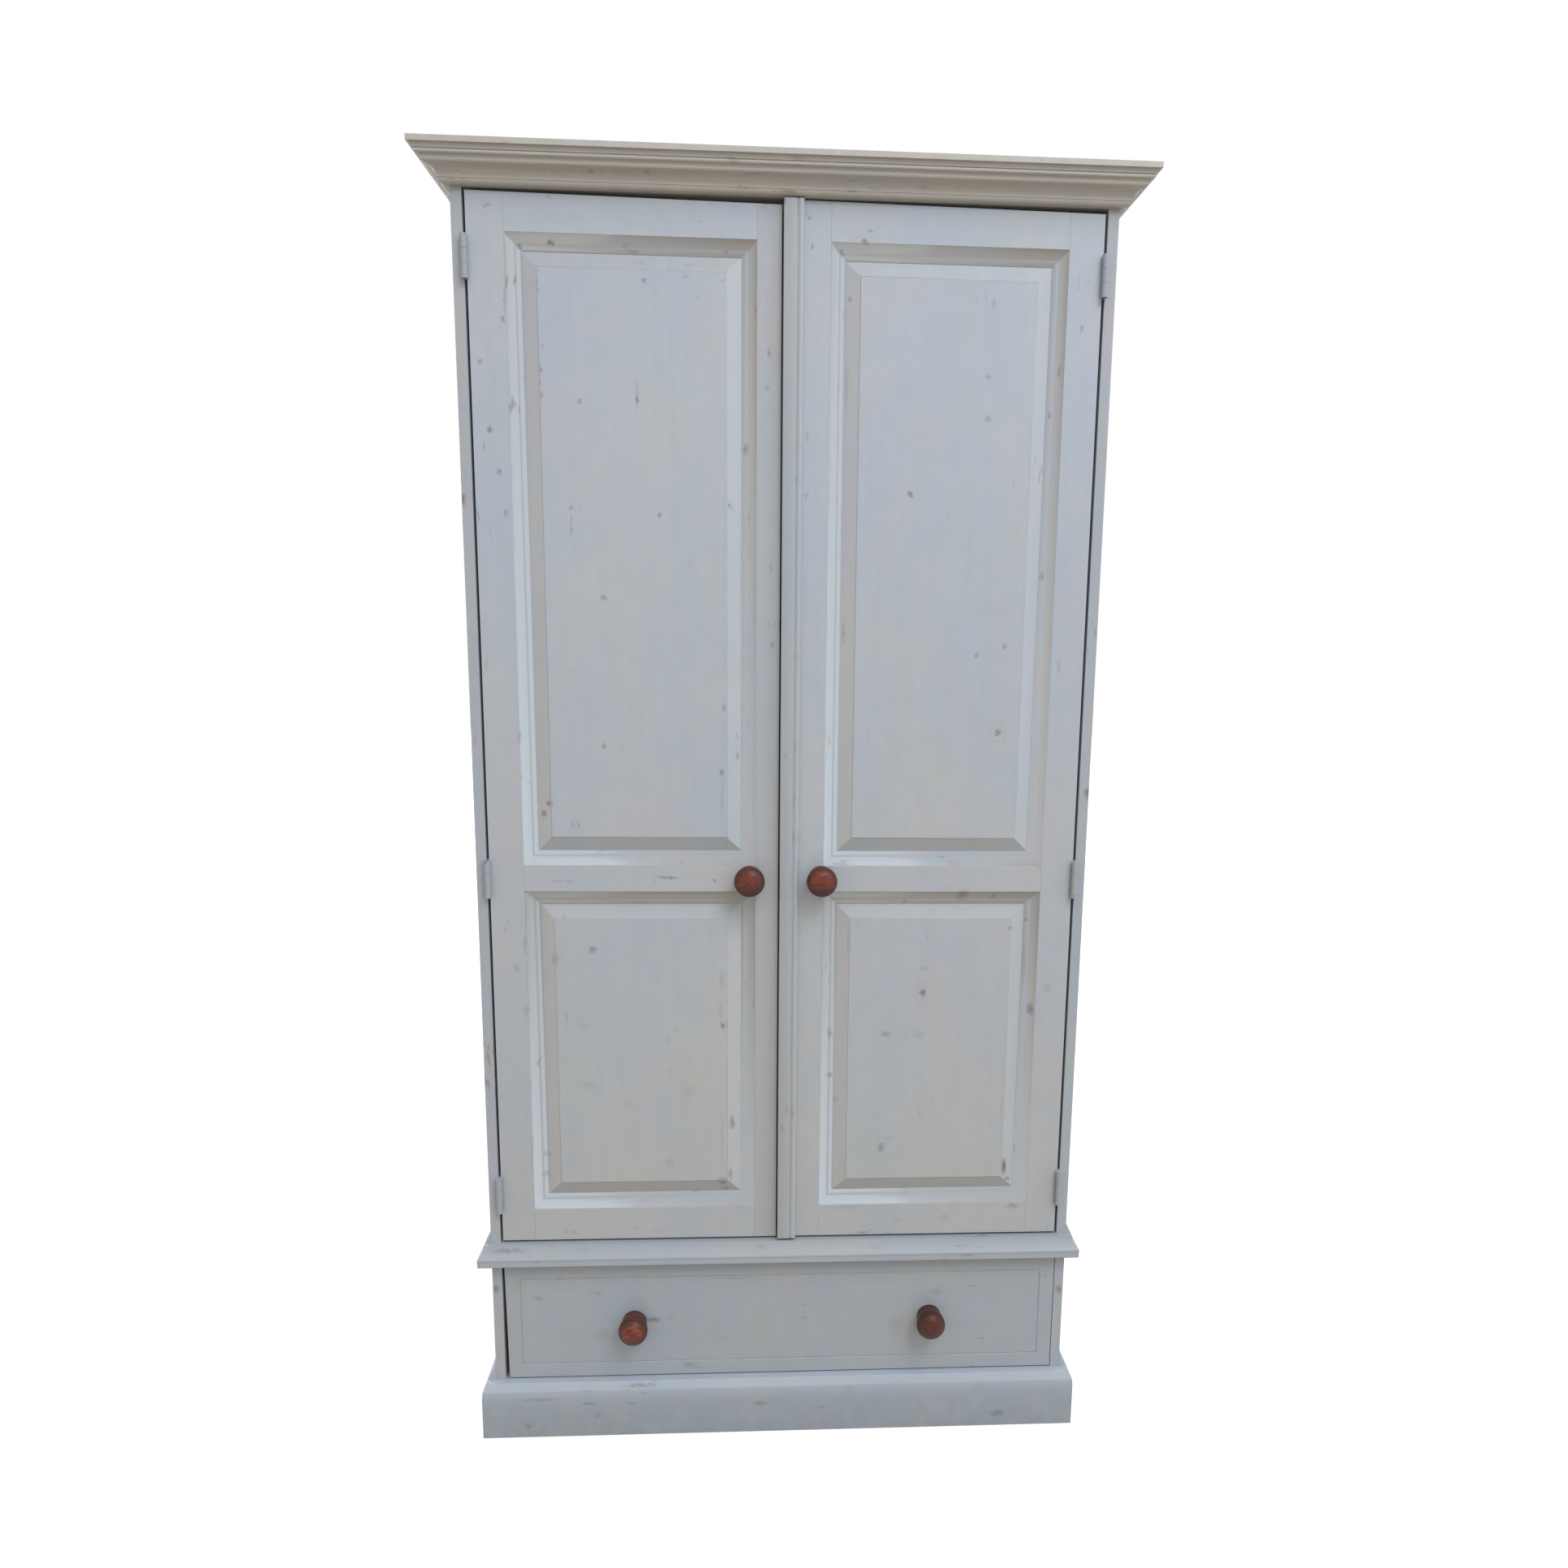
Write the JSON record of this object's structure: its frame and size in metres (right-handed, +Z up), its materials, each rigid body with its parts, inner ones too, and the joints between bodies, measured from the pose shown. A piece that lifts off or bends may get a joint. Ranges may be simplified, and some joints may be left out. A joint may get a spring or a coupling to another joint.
{
  "type": "wardrobe",
  "caption": "Painted wooden wardrobe with hinged raised-panel doors over a long drawer, moulded cornice, waist moulding and plinth.",
  "frame": {"origin": "on the floor, under the middle of the bounding box", "axes": "+X to the right as seen from the front, +Y from the doors to the back, +Z up"},
  "size_m": [1.052, 0.606, 2.004],
  "materials": {
    "carcass_paint": "satin",
    "door_paint": "satin",
    "drawer_paint": "satin",
    "moulding_paint": "satin",
    "cornice_paint": "satin",
    "bare_pine": "matt",
    "knob_wood": "satin",
    "painted_steel": "satin"
  },
  "bodies": {
    "carcass": {"back_board_1": "bare_pine", "back_board_2": "bare_pine", "back_board_3": "bare_pine", "cornice_front": "cornice_paint", "cornice_left": "cornice_paint", "cornice_right": "cornice_paint", "door_stop": "bare_pine", "drawer_bottom_rail": "carcass_paint", "drawer_kickers": "bare_pine", "drawer_runners": "bare_pine", "drawer_stops": "bare_pine", "drawer_top_rail": "carcass_paint", "floor_board": "bare_pine", "hanging_rail": "bare_pine", "head_rail": "carcass_paint", "left_hinge_pins": "painted_steel", "left_hinge_side_leaves": "painted_steel", "plinth_front": "moulding_paint", "plinth_left": "moulding_paint", "plinth_right": "moulding_paint", "rail_sockets": "bare_pine", "rear_bottom_rail": "bare_pine", "right_hinge_pins": "painted_steel", "right_hinge_side_leaves": "painted_steel", "side_left": "carcass_paint", "side_right": "carcass_paint", "top_board": "carcass_paint", "waist_front": "moulding_paint", "waist_left": "moulding_paint", "waist_right": "moulding_paint"},
    "drawer": {"drawer_back": "bare_pine", "drawer_bottom": "bare_pine", "drawer_front": "drawer_paint", "drawer_knob_left": "knob_wood", "drawer_knob_right": "knob_wood", "drawer_side_left": "bare_pine", "drawer_side_right": "bare_pine"},
    "left_door": {"left_door_bottom_rail": "door_paint", "left_door_hinge_stile": "door_paint", "left_door_knob": "knob_wood", "left_door_lock_rail": "door_paint", "left_door_lower_moulding": "door_paint", "left_door_lower_panel": "door_paint", "left_door_meeting_stile": "door_paint", "left_door_top_rail": "door_paint", "left_door_upper_moulding": "door_paint", "left_door_upper_panel": "door_paint", "left_hinge_door_leaves": "painted_steel"},
    "right_door": {"right_door_bottom_rail": "door_paint", "right_door_closing_strip": "door_paint", "right_door_hinge_stile": "door_paint", "right_door_knob": "knob_wood", "right_door_lock_rail": "door_paint", "right_door_lower_moulding": "door_paint", "right_door_lower_panel": "door_paint", "right_door_meeting_stile": "door_paint", "right_door_top_rail": "door_paint", "right_door_upper_moulding": "door_paint", "right_door_upper_panel": "door_paint", "right_hinge_door_leaves": "painted_steel"}
  },
  "joints": [
    {"name": "left_door_hinge", "type": "hinge", "parent": "carcass", "child": "left_door", "pos_m": [-0.462, -0.263, 1.146], "axis": [0, 0, -1], "range_deg": [0, 170]},
    {"name": "right_door_hinge", "type": "hinge", "parent": "carcass", "child": "right_door", "pos_m": [0.462, -0.263, 1.146], "axis": [0, 0, 1], "range_deg": [0, 170]},
    {"name": "drawer_slide", "type": "slide", "parent": "carcass", "child": "drawer", "axis": [0, -1, 0], "range_m": [0, 0.36]}
  ]
}
